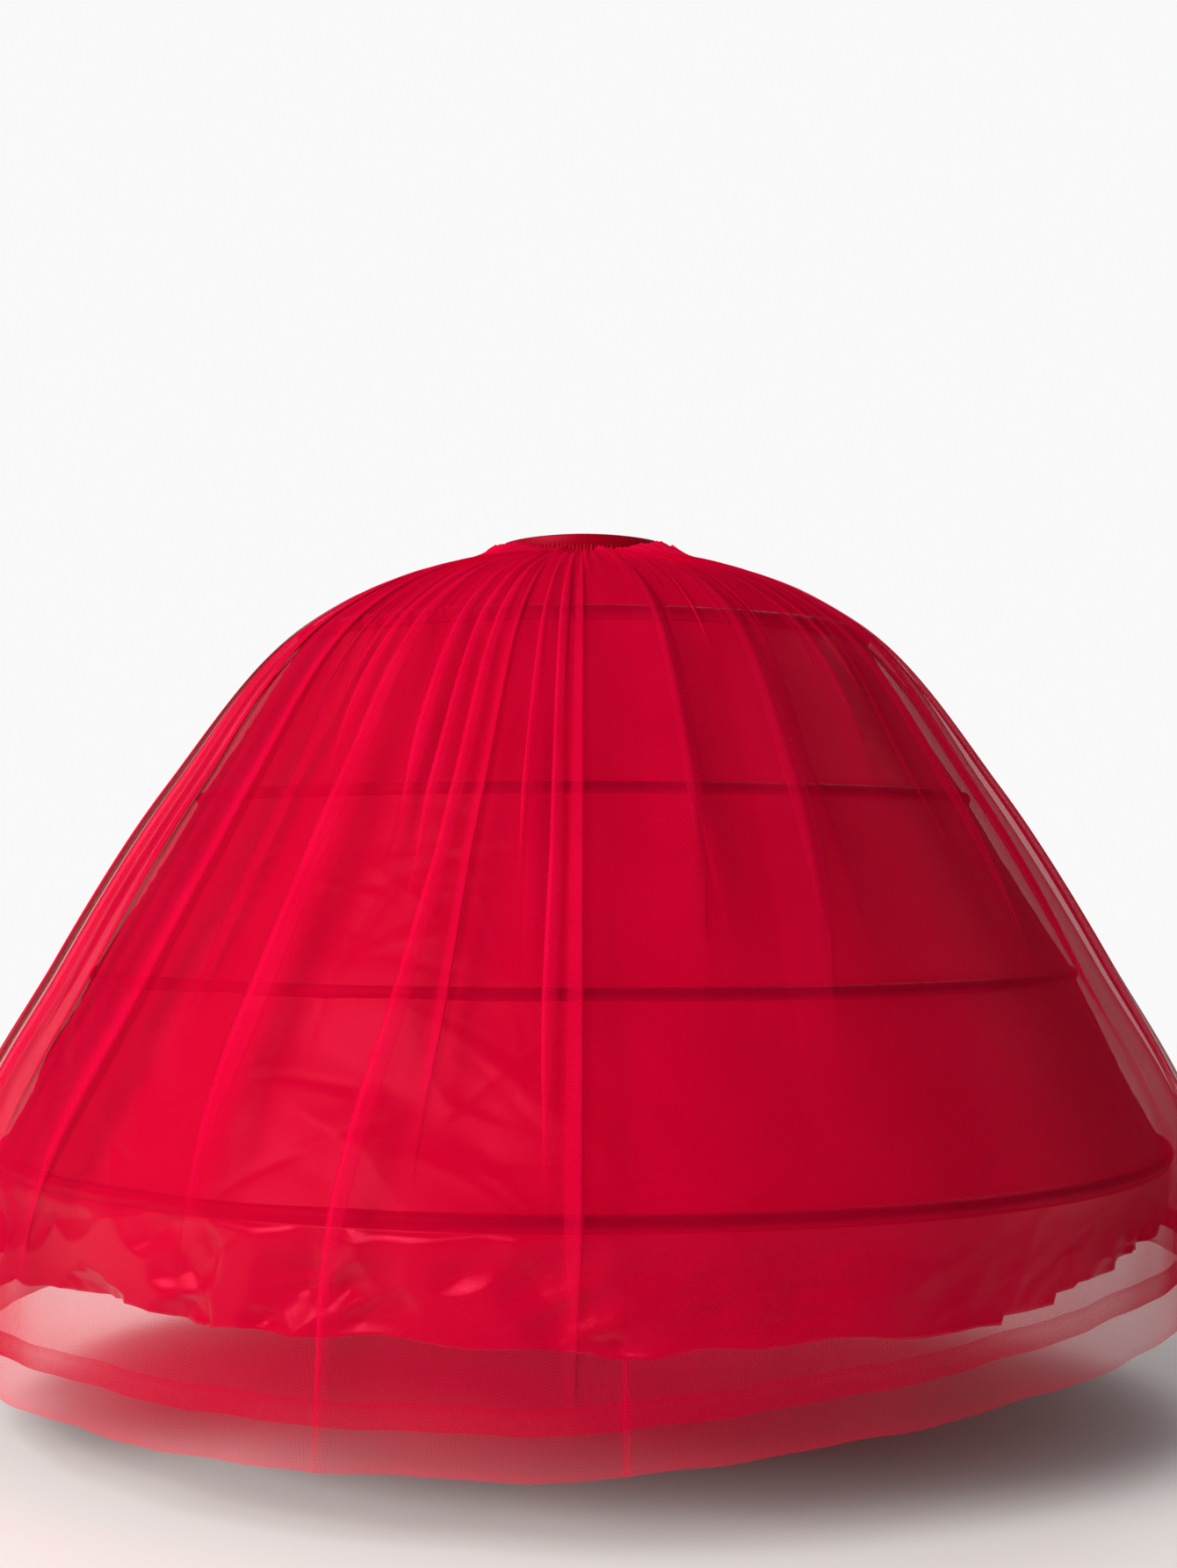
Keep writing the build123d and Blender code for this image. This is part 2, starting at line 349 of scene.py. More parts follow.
def satinCloth(name, deep, bright, roughness, gloss, paintedShade=None):
    material, tree, shader = newMaterial(
        name, Specular_IOR_Level=gloss, Specular_Tint=satin["tint"], Sheen_Weight=satin["sheen"],
        Sheen_Roughness=satin["sheenRoughness"], Sheen_Tint=satin["sheenTint"])
    cloth = addNode(tree, "ShaderNodeUVMap", uv_map="cloth")
    woven = addNode(tree, "ShaderNodeGroup", node_tree=weave)
    tree.links.new(cloth.outputs[0], woven.inputs["Cloth"])
    colour = mixColours(tree, woven.outputs["Tone"], deep, bright)
    # a given shade colour is painted shade, mixed in by the mesh attribute
    if paintedShade:
        over = addNode(tree, "ShaderNodeAttribute", attribute_name="coverAndPaintedLight")
        colour = mixColours(tree, over.outputs["Fac"], colour, paintedShade)
    tree.links.new(colour, shader.inputs["Base Color"])
    rough = maths(tree, "MULTIPLY_ADD", woven.outputs["Height"], satin["roughSpread"], roughness)
    tree.links.new(rough, shader.inputs["Roughness"])
    bump = addNode(tree, "ShaderNodeBump", [("Strength", satin["bump"]), ("Distance", satin["bumpDeep"])])
    tree.links.new(woven.outputs["Height"], bump.inputs["Height"])
    tree.links.new(bump.outputs[0], shader.inputs["Normal"])
    return material


# the nets' emission is painted light: a faint red glow that stands in for light coming through the net
def sheerNet(name, deep, bright, holeAlpha, threadAlpha, paintedGlow):
    material, tree, shader = newMaterial(
        name, Roughness=tulle["roughness"], Specular_IOR_Level=0.0, Sheen_Weight=tulle["sheen"],
        Sheen_Roughness=tulle["sheenRoughness"], Sheen_Tint=tulle["sheenTint"],
        Emission_Color=tulle["paintedGlow"], Emission_Strength=paintedGlow)
    cloth = addNode(tree, "ShaderNodeUVMap", uv_map="cloth")
    net = addNode(tree, "ShaderNodeGroup", node_tree=meshwork)
    tree.links.new(cloth.outputs[0], net.inputs["Cloth"])
    tree.links.new(mixColours(tree, net.outputs["Tone"], deep, bright), shader.inputs["Base Color"])
    coverAndPaintedLight = addNode(tree, "ShaderNodeAttribute", attribute_name="coverAndPaintedLight")
    cover = maths(tree, "MULTIPLY_ADD", net.outputs["Mask"], threadAlpha - holeAlpha, holeAlpha)
    alpha = addNode(tree, "ShaderNodeMath", [(0, cover), (1, coverAndPaintedLight.outputs["Fac"])],
                    operation="ADD", use_clamp=True)
    tree.links.new(alpha.outputs[0], shader.inputs["Alpha"])
    return material


liningCloth = satinCloth("liningTaffeta", (0.44, 0.0, 0.013), (0.58, 0.0, 0.023), roughness=0.26, gloss=0.3)
yokeCloth = satinCloth("yokeTaffeta", (0.44, 0.0, 0.013), (0.58, 0.0, 0.023), roughness=0.5, gloss=0.0)
flounceCloth = satinCloth("flounceTaffeta", (0.44, 0.0, 0.013), (0.6, 0.0, 0.024), roughness=0.2, gloss=1.0)
# the casing tape's dark colour is painted shade over the steel
casingCloth = satinCloth("casingTape", (0.42, 0.0, 0.011), (0.54, 0.0, 0.019), roughness=0.3, gloss=0.05,
                         paintedShade=(0.09, 0.0, 0.003))
bandCloth = satinCloth("bandRibbon", (0.24, 0.0, 0.007), (0.33, 0.0, 0.011), roughness=0.36, gloss=0.3)
underNetCloth = sheerNet("underNetTulle", (0.5, 0.0, 0.021), (0.62, 0.001, 0.033), holeAlpha=0.1,
                         threadAlpha=0.34, paintedGlow=0.04)
overNetCloth = sheerNet("overNetTulle", (0.62, 0.0, 0.032), (0.78, 0.004, 0.052), holeAlpha=0.11,
                        threadAlpha=0.36, paintedGlow=0.05)
print("cloth materials made")


# Waistband: ribbon folded over the elastic, smooth above and shirred below

waistband = {
    "cols": 480, "wall": 4.4 * mm, "innerRows": 7, "innerTo": 0.94, "rimShares": (0.75, 0.25),
    "outerRows": 17, "outerTo": 0.985, "ribbonShare": 0.55, "ribbonEdge": (-0.08, 0.02),
    "swell": 0.8 * mm, "swellFrom": 0.34, "gathers": (ripple(1, 104, 0, 1.7, 7), ripple(0.5, 61)),
    "gatherDepth": 0.9 * mm, "gatherOut": 0.2 * mm, "frontUp": 3 * mm, "sideDown": 0.5 * mm,
    "flat": (0.64, 0.05),
}


def bandSection(plan):  # up the inner face, over the top and down the outer face
    wall, top, bottom = plan["wall"], bandHigh.z, bandLow.z
    tall = top - bottom
    inner = [(-wall, bottom + share * tall)
             for share in np.linspace(0, plan["innerTo"], plan["innerRows"])]
    rim = [(-share * wall, top) for share in plan["rimShares"]]
    outer = [(0.0, bottom + plan["outerTo"] * share * tall)
             for share in np.linspace(1, 0, plan["outerRows"])]
    section = np.array(inner + rim + outer)
    return section, (section[:, 1] - bottom) / tall


def makeWaistband(plan):
    turn = np.linspace(-180, 180, plan["cols"] + 1)
    angle = np.radians(turn)
    section, share = bandSection(plan)
    face = (section[:, 0] > -plan["wall"] / 2).astype(float)
    seam = 1 - plan["ribbonShare"]
    ribbon = ease(share, seam + plan["ribbonEdge"][0], seam + plan["ribbonEdge"][1])
    crown = np.sin(math.pi * np.clip((share - plan["swellFrom"]) / (1 - plan["swellFrom"]), 0, 1))
    swell = plan["swell"] * crown * ribbon * face
    shirred = plan["gatherOut"] + plan["gatherDepth"] * ripples(angle, *plan["gathers"])[None, :]
    off = section[:, 0, None] + swell[:, None] + ((1 - ribbon) * face)[:, None] * shirred
    arch = plan["frontUp"] * np.cos(angle) ** 2 - plan["sideDown"]
    bearing = rowsOf(turn, len(section))
    line = np.stack([ovalReach(bearing) + off, section[:, 1, None] + share[:, None] * arch[None, :]], -1)
    piece = makeSheet("waistbandRibbon", standUp(line, bearing), clothUv(line, bearing))
    sewOn(piece, bandCloth, ["waistband"])


makeWaistband(waistband)
print("waistband made")


# Lining: yoke, skirt and flounce, each in a front and two back gores

dome = {"reachShares": (0, 0.26, 0.54, 0.74, 0.88, 1), "dropShares": (0, 0.11, 0.33, 0.56, 0.78, 1)}
yoke = {
    "degreesPerCol": 0.75, "rows": 38, "tuck": 3 * mm, "inset": 2 * mm, "gatherDepth": 1.6 * mm,
    "gathers": (ripple(1, 96, 0, 2, 5), ripple(0.6, 37, 1)), "gathersFrom": (0, 0.12),
    "gathersTo": (0.3, 0.95), "length": 0.30, "areaShare": 0.68,
}
skirt = {
    "degreesPerCol": {"front": 0.34, "back_left": 0.6, "back_right": 0.6}, "rows": 160, "sag": 3 * mm,
    "slackPower": 0.7, "calmSide": 0.45, "most": (-12 * mm, 7 * mm),
    "wrinkles": {"count": 300, "lean": 0, "scatter": 36, "long": (0.05, 0.2), "wide": (2.5 * mm, 9 * mm),
                 "high": (1.5 * mm, 5.5 * mm), "bow": 0.12},
    "wrinklesAtTop": 0.15, "wrinklePower": 2.5,
    "crumple": {"cell": 0.13, "high": 0.12, "slant": -28, "stretch": 1.6},
    "crumpleFrom": (0.5, 0.75), "crumplePower": 2,
    "seamPucker": 3.5 * mm, "seamReach": 2.6, "seamLine": 0.35, "puckers": ripple(1, 210, 0, 3.1, 47),
    "puckerSize": 0.55, "puckerSizes": ripple(0.45, 31, 1), "length": 0.78, "areaShare": 0.75,
}
flounce = {
    "degreesPerCol": 0.45, "rows": 34, "tuckIn": 14 * mm, "length": 0.113, "hem": 8 * mm,
    "hemInset": (1.5 * mm, 2 * mm), "rise": 0.038, "stepsWithin": 90, "stepCalm": 0.6,
    "steps": ((37.0, 0.14), (43.8, 0.3), (46.2, 0.14), (54.4, 0.22), (62.0, 0.2)),
    "uneven": (ripple(6 * mm, 3, 0.6), ripple(4 * mm, 11, 1), ripple(3 * mm, 29)),
    "waves": (ripple(1, 17, 0, 1.3, 4), ripple(0.6, 31, 0, 2, 3)), "waveHigh": 3.6 * mm, "wavePower": 1.3,
    "calmSide": 0.5, "most": (-26 * mm, 9 * mm),
    "wrinkles": {"count": 170, "lean": 0, "scatter": 60, "long": (0.03, 0.1), "wide": (5 * mm, 15 * mm),
                 "high": (4 * mm, 12 * mm), "bow": 0.15},
    "wrinkleShare": 0.6, "crumple": {"cell": 0.06, "high": 0.6, "slant": 24, "stretch": 1.4},
    "crumplePower": 2.5, "fullness": 1.06,
}
slackZone = (-0.35, 0.25)
seamClear = 2.5
liningSeed = 7


def domeStations(bearing, startOut, startHeight, end):
    start = ovalReach(bearing, startOut)
    stations = []
    for reach, drop in zip(dome["reachShares"], dome["dropShares"]):
        height = np.full_like(start, startHeight + drop * (end[1] - startHeight))
        stations.append(np.stack([start + reach * (end[0] - start), height], -1))
    return stations


def slackTowards(bearing, calm):  # the cloth hangs looser on the side towards -X
    return upFrom(calm, ease(-np.sin(np.radians(bearing)), *slackZone))


def offSeams(bearing, start, end):  # nil where one gore is sewn to the next
    return ease(np.minimum(bearing - start, end - bearing), 0, seamClear)


def makeYoke(plan, side, start, end):
    turn = turnOf(start, end, plan["degreesPerCol"])
    places = np.linspace(0, 1, plan["rows"])
    stations = domeStations(turn, -plan["inset"], bandLow.z + plan["tuck"], hoopLine[0])
    line = drawnLine(np.array(stations), places)
    gather = ripples(np.radians(turn), *plan["gathers"])
    deep = plan["gatherDepth"] * ease(places, *plan["gathersFrom"]) * (1 - ease(places, *plan["gathersTo"]))
    line = line + outward(line) * (deep[:, None] * gather[None, :])[..., None]
    bearing = rowsOf(turn, len(places))
    piece = makeSheet(f"yokeCloth_{side}", standUp(line, bearing), clothUv(line, bearing))
    sewOn(piece, yokeCloth, [f"yoke_{side}"])


def seamPuckers(plan, bearing, seam, run, loose):
    near = np.exp(-(((bearing - seam) / plan["seamReach"]) ** 2))
    pucker = ripples(run, plan["puckers"]) * (plan["puckerSize"] + ripples(run, plan["puckerSizes"]))
    sewn = np.exp(-(((bearing - seam) / plan["seamLine"]) ** 2))
    return plan["seamPucker"] * (near * loose * pucker - sewn)


def makeSkirt(plan, side, start, end, rng):
    turn = turnOf(start, end, plan["degreesPerCol"][side])
    places = np.linspace(0, 1, plan["rows"])
    line, between = tautLine(np.repeat(np.array(hoopLine)[:, None, :], len(turn), 1), places)
    bearing = rowsOf(turn, len(places))
    uv = clothUv(line, bearing)
    down = places[:, None]
    slack = np.sin(math.pi * between) ** plan["slackPower"]
    slackSide = slackTowards(bearing, plan["calmSide"])
    lower = upFrom(plan["wrinklesAtTop"], down ** plan["wrinklePower"])
    pressed = creases(uv, plan["wrinkles"], rng) * slack * lower * slackSide
    low = ease(down, *plan["crumpleFrom"]) * slackSide ** plan["crumplePower"]
    pressed = pressed + crumple(uv, plan["crumple"], rng) * slack * low
    off = -plan["sag"] * slack + np.clip(pressed, *plan["most"]) * offSeams(bearing, start, end)
    for seam in (start, end):
        off = off + seamPuckers(plan, bearing, seam, uv[..., 1], slack * slackSide)
    line = line + outward(line) * off[..., None]
    piece = makeSheet(f"skirtCloth_{side}", standUp(line, bearing), uv)
    sewOn(piece, liningCloth, [f"skirt_{side}"])


def flounceDrop(plan, turn):  # how far the lower edge hangs, stepped up towards +X at the front
    angle = np.radians(turn)
    stepped = sum(share * (turn > at) for at, share in plan["steps"])
    raised = np.where(np.abs(turn) < plan["stepsWithin"], stepped, np.clip(np.sin(angle), 0, 1))
    uneven = ripples(angle, *plan["uneven"]) * (1 - plan["stepCalm"] * (stepped > 0))
    return plan["length"] - plan["rise"] * raised + uneven


def makeFlounce(plan, side, start, end, rng):
    turn = turnOf(start, end, plan["degreesPerCol"])
    reach, top = hoopLine[3]
    share = np.concatenate([np.linspace(0, 1, plan["rows"]), [1.0, 1 - plan["hem"] / plan["length"]]])
    inset = np.concatenate([np.zeros(plan["rows"]), plan["hemInset"]])
    hang = share[:, None]
    down = hang * flounceDrop(plan, turn)[None, :]
    bearing = rowsOf(turn, len(share))
    out = np.repeat((reach - plan["tuckIn"] * share - inset)[:, None], len(turn), 1)
    uv = np.stack([np.radians(bearing - turn.mean()) * reach, -down], -1)
    off = plan["waveHigh"] * hang ** plan["wavePower"] * ripples(np.radians(turn), *plan["waves"])[None, :]
    slackSide = slackTowards(bearing, plan["calmSide"])
    pressed = creases(uv, plan["wrinkles"], rng) * slackSide * plan["wrinkleShare"]
    pressed = pressed + crumple(uv, plan["crumple"], rng) * slackSide ** plan["crumplePower"]
    off = off + pressed * np.sqrt(hang) * offSeams(bearing, start, end)
    line = np.stack([out + np.clip(off, *plan["most"]), top - down], -1)
    piece = makeSheet(f"flounceCloth_{side}", standUp(line, bearing), uv)
    sewOn(piece, flounceCloth, [f"flounce_{side}"])


def makeLining():
    rng = np.random.default_rng(liningSeed)
    for side, (start, end) in gores.items():
        makeYoke(yoke, side, start, end)
        makeSkirt(skirt, side, start, end, rng)
        makeFlounce(flounce, side, start, end, rng)


makeLining()
print("lining made")


# Casings: tape sewn down over each steel, which it stands out over, with painted shade over the steel

casing = {
    "ends": (-179.9, 179.9), "degreesPerCol": 0.75, "halfHeight": 10 * mm, "seat": 3 * mm, "bulge": 8 * mm,
    "halfShares": (0, 0.2, 0.4, 0.56, 0.68, 0.78, 0.88, 0.97, 1), "ridge": 0.72, "ridgeShare": 0.75,
    "pucker": 0.5 * mm, "puckers": ripple(1, 151, 0, 3, 13), "puckerSize": 0.5, "puckerSizeTurns": 19,
    "litShade": 0.12, "shadeFrom": (-0.5, 0.1), "flatShare": 2.3,
}


def makeCasing(plan, number):
    place = steels[number - 1]
    other = steels[number] if number < len(steels) else steels[number - 2]
    along = (other - place) / np.linalg.norm(other - place)
    along = along if along[1] < 0 else -along
    out = np.array([-along[1], along[0]])
    turn = turnOf(*plan["ends"], plan["degreesPerCol"])
    angle = np.radians(turn)
    half = np.array(plan["halfShares"])
    share = np.concatenate([-half[:0:-1], half])
    ridge = np.exp(-((share / plan["ridge"]) ** 4))
    swell = plan["ridgeShare"] * ridge + (1 - plan["ridgeShare"]) * (1 - share ** 4)
    sizes = plan["puckerSize"] * (1 + np.sin(plan["puckerSizeTurns"] * angle + number))
    pucker = plan["pucker"] * (ripples(angle, plan["puckers"]) * sizes)[None, :] * (1 - share[:, None] ** 2)
    lift = (plan["bulge"] * swell - plan["seat"])[:, None] + pucker
    line = place + share[:, None, None] * plan["halfHeight"] * along + lift[..., None] * out
    bearing = rowsOf(turn, len(share))
    # painted shade: the band over the steel is darkened, partly for the steel showing through the thin tape
    # and partly as shade, least on the -X side towards the key light and most on the +X side
    paintedShade = ridge[:, None] * upFrom(plan["litShade"], ease(np.sin(angle), *plan["shadeFrom"]))
    piece = makeSheet(f"casingTape_{number}", standUp(line, bearing), clothUv(line, bearing), paintedShade)
    sewOn(piece, casingCloth, [f"casing_{number}"])


for number in hoopNumbers:
    makeCasing(casing, number)
print("casings made")


# Net layers. A fold is a roll of net with a crisp edge that tucks back under itself. Its edge is given
# by bearings at the waist, middle and hem, with the side it faces, the reach and lip of the roll in
# degrees, its height in mm, and the shares of the fall where it starts to fade and is gone.

foldPlan = namedtuple("foldPlan", "waist middle hem side reach lip high fadeFrom gone")
foldMarks = np.array([0, 0.5, 1])
foldShape = np.array([  # along in reaches, along in lips, out in heights
    (-1.0, 0, 0.0), (-0.85, 0, 0.28), (-0.6, 0, 0.7), (-0.35, 0, 0.92), (-0.12, 0, 1.0), (0, 0, 0.97),
    (0, 0.06, 0.88), (0, 0.0, 0.78), (0, -0.3, 0.66), (0, -0.7, 0.54), (0, -0.97, 0.42), (0, -1.03, 0.3),
    (0, -0.95, 0.18), (0, -0.6, 0.08), (0, -0.1, 0.02), (0, 0.35, 0.0),
])
foldEdge = foldShape[6]
foldTail = foldShape[-1, 1]
foldCols = {"fold": 18, "gather": 12, "gatherGone": 0.42, "gap": 0.02}
foldGrowth = {"strengthAtWaist": 0.3, "strengthens": (0.02, 0.24), "highAtWaist": 0.25,
              "rises": (0.16, 0.5), "crestWide": 0.12, "veilPower": 1.5, "veilAbove": 0.8}

# The over net's folds at the front, by panel
frontFolds = {
    4: [
        foldPlan(-81, -81, -81, 1, 4.5, 2.6, 8, 0.8, 1.1),
        foldPlan(-74, -74, -74, 1, 4.5, 2.4, 8, 0.6, 1.0),
        foldPlan(-68, -68, -68, -1, 4.0, 2.4, 8, 0.7, 1.0),
        foldPlan(-58, -57, -57, 1, 4.5, 2.4, 8, 0.6, 0.9),
        foldPlan(-46, -44, -48, 1, 6.0, 3.0, 10, 0.7, 0.98),
        foldPlan(-34, -34, -34, -1, 3.0, 1.4, 7, 0.32, 0.46),
        foldPlan(-29.5, -30.3, -33.5, -1, 4.6, 2.4, 9, 0.65, 0.9),
        foldPlan(-21.5, -22, -27.3, -1, 3.0, 1.5, 7, 0.36, 0.52),
        foldPlan(-17.5, -18.4, -23.9, -1, 2.6, 1.2, 7, 0.42, 0.6),
        foldPlan(-14, -15.6, -20.7, -1, 2.3, 1.5, 8, 0.7, 1.15),
        foldPlan(-9.5, -11.6, -12.4, 1, 1.6, 1.2, 8, 0.62, 0.85),
        foldPlan(-7, -7, -7, -1, 1.2, 0.7, 6, 0.42, 0.56),
        foldPlan(-4.6, -3.4, -3.8, -1, 1.8, 1.3, 8, 0.62, 0.85),
        foldPlan(0, 0, 0, 1, 1.5, 1.4, 9, 0.8, 0.98),
    ],
    1: [
        foldPlan(13.5, 13.5, 14, 1, 6.5, 1.8, 8, 0.4, 0.75),
        foldPlan(30, 26, 23, 1, 7.0, 2.2, 9, 0.45, 0.8),
        foldPlan(42, 40, 39, 1, 4.5, 1.4, 7, 0.3, 0.5),
        foldPlan(56, 52, 51, 1, 5.5, 1.8, 8, 0.42, 0.75),
        foldPlan(66, 62, 61, 1, 4.0, 1.6, 8, 0.5, 0.85),
        foldPlan(74, 73, 73, 1, 4.0, 2.4, 8, 0.6, 0.95),
        foldPlan(80, 80, 80, -1, 4.0, 2.4, 8, 0.7, 1.05),
        foldPlan(90, 90, 90, 1, 4.0, 2.4, 8, 0.7, 1.05),
    ],
}
inventedFolds = {"jitter": 0.1, "middleStray": 0.8, "hemStray": 1, "reach": (2.6, 3.2), "lip": (1.4, 2.4),
                 "high": (7, 9), "fadeRun": 0.25}
gathers = {"seamClear": 0.8, "apart": 4.4, "jitter": 0.2, "reach": (0.7, 1.8), "lip": (0.5, 1.1),
           "high": (2, 5), "fadeFrom": (0.05, 0.28), "fadeRun": 0.13}

underNet = {
    "rows": 92, "degreesPerCol": 1.5, "topOut": 2.0 * mm, "rise": 8 * mm, "hemStand": 11 * mm,
    "stands": (6 * mm, 14 * mm, 15 * mm, 14 * mm), "sideStand": 18 * mm, "wave": 1.5 * mm,
    "ruffle": 0.5 * mm, "hem": 27 * mm, "sideFullness": 0.5,
    "hanging": (ripple(1, 31, 0, 1.5, 5), ripple(0.6, 53, 2)), "folds": 5,
    "fadeFrom": (0.3, 0.55), "foldHigh": 0.4, "length": 1.27,
}
overNet = {
    "rows": 112, "degreesPerCol": 1.3, "topOut": 3.2 * mm, "rise": 15 * mm, "hemStand": 40 * mm,
    "stands": (7 * mm, 43 * mm, 45 * mm, 43 * mm), "sideStand": 0.0, "wave": 3 * mm,
    "ruffle": 0.9 * mm, "hem": 0.0, "sideFullness": 0.42,
    "hanging": (ripple(1, 31, 1.9, 1.5, 5), ripple(0.6, 53, 2)), "folds": 10,
    "fadeFrom": (0.45, 0.8), "foldHigh": 1, "length": 1.30,
}
heading = {  # the top of each net rolls over its seam on the band, with a notch and puffs at the front
    "roll": ((0, 0), (0.35, 0.72), (1, 1), (2.1, 0.5)), "out": 9 * mm, "up": 2 * mm, "domeBelow": 1 * mm,
    "crescent": (12, 78), "low": 1.5 * mm, "frontDrop": 3 * mm,
    "notchAt": -1.5, "notch": (4, 13), "notchDrop": 8 * mm,
    "pucker": 0.13, "puckers": (ripple(1, 7, 1), ripple(0.8, 12, 2.3), ripple(0.5, 19)),
    "puffs": ((-14, 4.5), (11, 5.5), (40, 8), (-46, 7)), "puffUp": 3 * mm, "puffOut": 5 * mm,
}
netHang = {
    "rowPower": 1.08, "sideStandFrom": (0.72, 0.95), "hemRise": 80 * mm, "hemUp": 2 * mm,
    "ragged": (ripple(1.5 * mm, 7, 1), ripple(1 * mm, 23), ripple(0.6 * mm, 51, 2)),
    "waves": (ripple(1, 9, 0.7), ripple(0.7, 14, 2.1), ripple(0.5, 23, 4)), "wavesFrom": (0.2, 0.5),
    "ruffleOut": 1.7, "ruffles": (ripple(1, 72, 0, 2, 5), ripple(0.7, 113, 1)), "rufflesTo": (0.05, 0.3),
    "turnIn": 1.6 * mm, "turnDown": 0.6 * mm, "turnShares": (0.02, 0.35, 0.7, 1.0),
    "fullness": 1.12, "areaShare": 0.62,
}
netDense = {  # what is added to the net's cover where more of it lies together, and along fold crests on the lit side as a painted highlight
    "cover": 0.17, "mostGathered": 6, "thins": ((0.7, 0.05, 0.16), (0.3, 0.16, 0.5)),
    "crest": 0.32, "crestFrom": (0.02, 0.14), "litLeast": 0.4, "litFrom": (-0.2, 0.2),
    "veil": 0.28, "veilFrom": (0.02, 0.2), "sideFrom": (46, 66), "sideTo": (104, 130),
    "hangLevel": 0.8, "hangSpread": 0.14, "hem": 0.12, "hemFrom": (0.89, 0.94),
    "seam": 0.25, "seamFrom": (0.88, 0.93), "turnedEdge": 0.15, "cutEdge": 0.1,
}
seamTurn = 0.4
netSeed = 21


def panelFrom(number):
    return panelStart + (number - 1) * panelTurn - (360 if number == panels[-1] else 0)


def inventFolds(start, net, rng):
    plan = inventedFolds
    folds = []
    for number in range(net["folds"]):
        share = (number + 0.5 + rng.uniform(-plan["jitter"], plan["jitter"])) / net["folds"]
        bearing = start + panelTurn * share
        fade = rng.uniform(*net["fadeFrom"])
        middle = bearing + rng.uniform(-plan["middleStray"], plan["middleStray"])
        hem = bearing + rng.uniform(-plan["hemStray"], plan["hemStray"])
        side = rng.choice([-1, 1])
        reach, lip, high = (rng.uniform(*plan[key]) for key in ("reach", "lip", "high"))
        folds.append(foldPlan(bearing, middle, hem, side, reach, lip, high * net["foldHigh"], fade,
                              fade + plan["fadeRun"]))
    return folds


def foldSpan(fold, places):
    edge = np.interp(places, foldMarks, fold[:3])
    tail = foldTail * fold.lip
    back, ahead = (fold.reach, tail) if fold.side > 0 else (tail, fold.reach)
    return edge - back, edge, edge + ahead


def addGathers(folds, start, rng):  # small folds that fill the gaps at the waist
    filled = []
    last = np.full(3, start + gathers["seamClear"])
    for fold in folds + [None]:
        low = foldSpan(fold, foldMarks)[0] if fold else np.full(3, start + panelTurn - gathers["seamClear"])
        count = int((low - last)[0] / gathers["apart"])
        for number in range(count):
            share = (number + 0.5 + rng.uniform(-gathers["jitter"], gathers["jitter"])) / count
            fade = rng.uniform(*gathers["fadeFrom"])
            side = rng.choice([-1, 1])
            reach, lip, high = (rng.uniform(*gathers[key]) for key in ("reach", "lip", "high"))
            at = last + (low - last) * share
            filled.append(foldPlan(*at, side, reach, lip, high, fade, fade + gathers["fadeRun"]))
        if fold:
            filled.append(fold)
            last = foldSpan(fold, foldMarks)[2]
    return filled


def foldColumns(fold, places, count):  # flat bearing, turn from it, lift, crest and veil of each column
    plan = foldGrowth
    low, edge, high = foldSpan(fold, places)
    curve = drawnLine(np.repeat(foldShape[:, None, :], 2, 1), np.linspace(0, 1, count))[:, 0, :]
    strength = 1 - ease(places, fold.fadeFrom, fold.gone)
    strength = strength * upFrom(plan["strengthAtWaist"], ease(places, *plan["strengthens"]))
    growth = upFrom(plan["highAtWaist"], ease(places, *plan["rises"]))
    columns = []
    for at, (along, lip, out) in enumerate(curve if fold.side > 0 else curve[::-1]):
        even = low + (high - low) * at / (count - 1)
        shaped = edge + fold.side * (along * fold.reach + lip * fold.lip)
        fromEdge = np.linalg.norm(np.array([along, lip, out]) - foldEdge)
        crest = math.exp(-(fromEdge / plan["crestWide"]) ** 2)
        if lip >= 0 and along < 0:
            veil = (1 + along) ** plan["veilPower"]
        else:
            veil = float(along >= 0 and out > plan["veilAbove"])
        lift = growth * fold.high * mm * out
        columns.append((even, *(strength * part for part in (shaped - even, lift, crest, veil))))
    return columns


def netColumns(start, folds, plan, places):
    same = np.ones(len(places))
    plain = (0 * same,) * 4
    columns = [(start * same, *plain)]
    last = (start + seamTurn) * same
    for fold in folds + [None]:
        low = foldSpan(fold, places)[0] if fold else (start + panelTurn - seamTurn) * same
        count = max(1, round((low - last).mean() / plan["degreesPerCol"]))
        for step in range(0 if len(columns) == 1 else 1, count if fold else count + 1):
            columns.append((last + (low - last) * step / count, *plain))
        if fold:
            kind = "gather" if fold.gone < foldCols["gatherGone"] else "fold"
            columns += foldColumns(fold, places, foldCols[kind])
            last = foldSpan(fold, places)[2]
    columns.append(((start + panelTurn) * same, *plain))
    flat, moved, lift, crest, veil = (np.stack(part, 1) for part in zip(*columns))
    spare = np.linspace(0, foldCols["gap"], flat.shape[1])
    flat = np.maximum.accumulate(flat - spare, axis=1) + spare  # no column passes its neighbour
    return flat + moved, flat, lift, crest, veil


def headingStations(plan, top):
    frontal = 1 - ease(awayFrom(top), *heading["crescent"])
    notch = 1 - ease(awayFrom(top, heading["notchAt"]), *heading["notch"])
    puff = sum(np.exp(-(((top - at) / wide) ** 2)) for at, wide in heading["puffs"])
    rise = plan["rise"] + (heading["low"] - plan["rise"]) * frontal
    rise = rise * (1 + heading["pucker"] * ripples(np.radians(top), *heading["puckers"]))
    rise = rise + heading["puffUp"] * puff
    rollOut = heading["out"] + heading["puffOut"] * puff
    base = bandLow.z + heading["up"] - heading["notchDrop"] * notch - heading["frontDrop"] * frontal
    return [
        np.stack([ovalReach(top, plan["topOut"] + out * rollOut), base + up * rise], -1)
        for out, up in heading["roll"]
    ]


